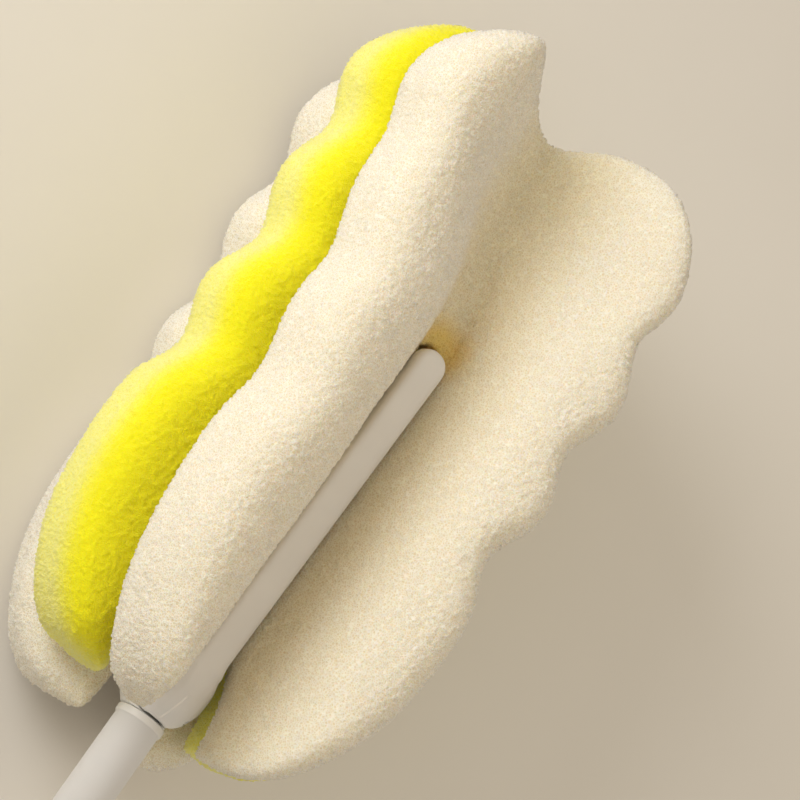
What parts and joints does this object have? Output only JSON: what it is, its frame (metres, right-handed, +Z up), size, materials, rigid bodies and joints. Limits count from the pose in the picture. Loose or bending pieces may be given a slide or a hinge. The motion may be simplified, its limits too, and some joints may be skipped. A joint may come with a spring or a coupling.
{
  "type": "sponge cup brush",
  "caption": "Long-handled cup brush: scalloped white and yellow foam layers held in a hinged two-prong fork on a round tube handle with a hanging eye.",
  "frame": {"origin": "centre of the footprint, on the surface that the brush lies on", "axes": "+Y along the handle towards the foam head, +Z up from the back layer's wings to the front layer's, +X across the head to its right as seen from the front"},
  "size_m": [0.077, 0.2997, 0.0653],
  "materials": {
    "white_plastic": "satin moulded polypropylene",
    "steel": "plain drawn steel pin",
    "white_foam": "cream open-cell foam",
    "yellow_foam": "lemon-yellow open-cell foam"
  },
  "bodies": {
    "brush": {"handle_tube": "white_plastic", "end_plug": "white_plastic", "back_prong": "white_plastic", "hinge_pin": "steel", "front_sponge": "white_foam", "middle_sponge": "yellow_foam", "back_sponge": "white_foam"},
    "front_prong": {"front_prong": "white_plastic"}
  },
  "joints": [
    {"name": "prong_hinge", "type": "hinge", "parent": "brush", "child": "front_prong", "pos_m": [0.0023, 0.0163, 0.03654], "axis": [1, 0, 0], "range_deg": [0, 60]}
  ]
}
